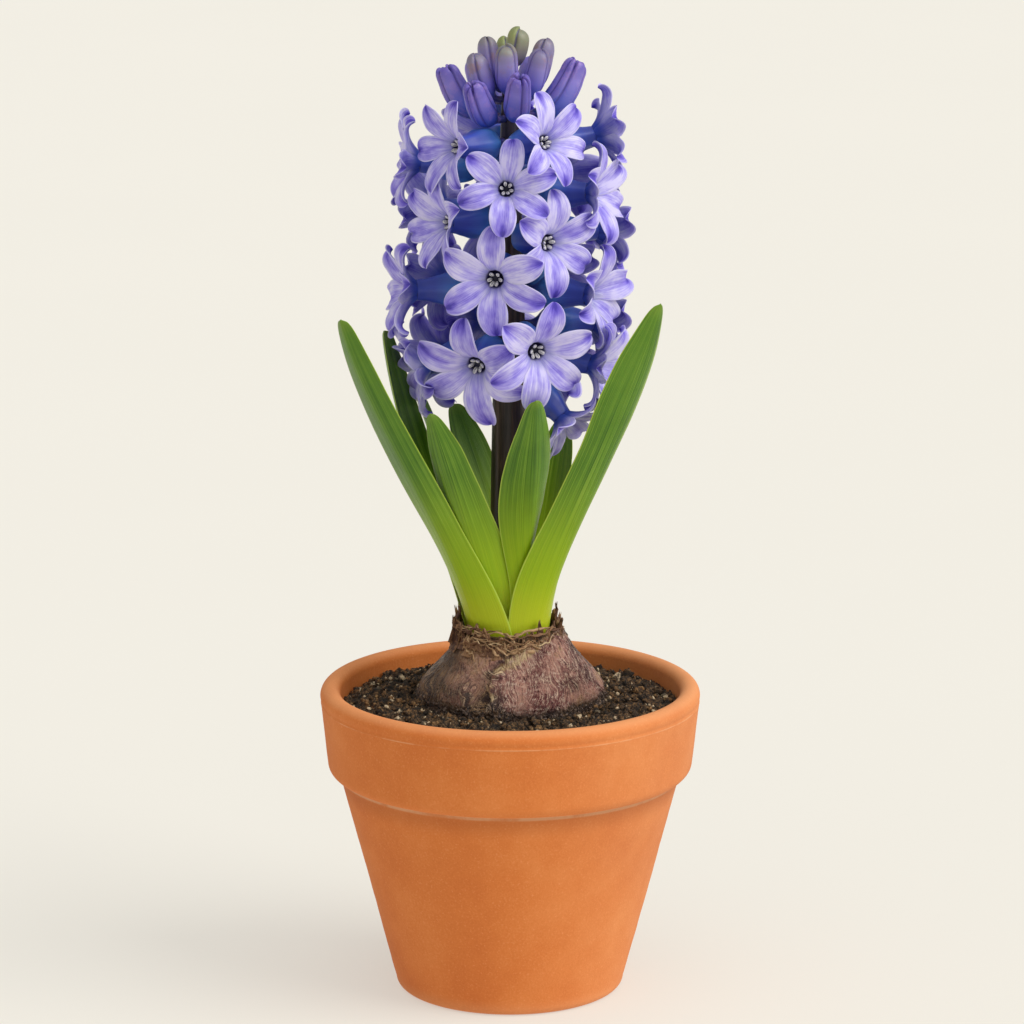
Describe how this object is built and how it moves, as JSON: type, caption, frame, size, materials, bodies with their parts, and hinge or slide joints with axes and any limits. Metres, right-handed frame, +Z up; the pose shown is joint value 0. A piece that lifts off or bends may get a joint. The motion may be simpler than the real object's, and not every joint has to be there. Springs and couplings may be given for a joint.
{
  "type": "hyacinth flower with bulb",
  "caption": "Hyacinth in bloom with its bulb half in soil, in a round terracotta pot with a banded rim.",
  "frame": {"origin": "centre of the pot's foot, on the surface that the pot stands on", "axes": "+Z up along the stem, -Y towards the front with the widest opened florets, +X to the right seen from the front"},
  "size_m": [0.12, 0.12, 0.3065],
  "materials": {
    "terracotta": "matte, dusty",
    "potting_mix": "crumbly, damp",
    "bulb_skin": "thin papery skin, slight sheen",
    "dry_tunic": "dry, torn, papery",
    "stem_flesh": "smooth, fleshy, slight sheen",
    "leaf_green": "smooth, fleshy, soft gloss",
    "petal_blue": "waxy, soft sheen",
    "bud_violet": "waxy, soft sheen"
  },
  "bodies": {
    "root": {"pot": "terracotta", "soil": "potting_mix", "bulb": "bulb_skin", "tunic_collar": "dry_tunic", "scape": "stem_flesh", "leaf_1": "leaf_green", "leaf_2": "leaf_green", "leaf_3": "leaf_green", "leaf_4": "leaf_green", "leaf_5": "leaf_green", "leaf_6": "leaf_green", "leaf_7": "leaf_green", "leaf_8": "leaf_green", "floret_01": "petal_blue", "floret_02": "petal_blue", "floret_03": "petal_blue", "floret_04": "petal_blue", "floret_05": "petal_blue", "floret_06": "petal_blue", "floret_07": "petal_blue", "floret_08": "petal_blue", "floret_09": "petal_blue", "floret_10": "petal_blue", "floret_11": "petal_blue", "floret_12": "petal_blue", "floret_13": "petal_blue", "floret_14": "petal_blue", "floret_15": "petal_blue", "floret_16": "petal_blue", "floret_17": "petal_blue", "floret_18": "petal_blue", "floret_19": "petal_blue", "floret_20": "petal_blue", "floret_21": "petal_blue", "floret_22": "petal_blue", "floret_23": "petal_blue", "floret_24": "petal_blue", "floret_25": "petal_blue", "floret_26": "petal_blue", "floret_27": "petal_blue", "bud_01": "bud_violet", "bud_02": "bud_violet", "bud_03": "bud_violet", "bud_04": "bud_violet", "bud_05": "bud_violet", "bud_06": "bud_violet", "bud_07": "bud_violet", "bud_08": "bud_violet", "bud_09": "bud_violet", "bud_10": "bud_violet", "bud_11": "bud_violet", "bud_12": "bud_violet", "bud_13": "bud_violet", "bud_14": "bud_violet", "bud_15": "bud_violet"}
  },
  "joints": []
}
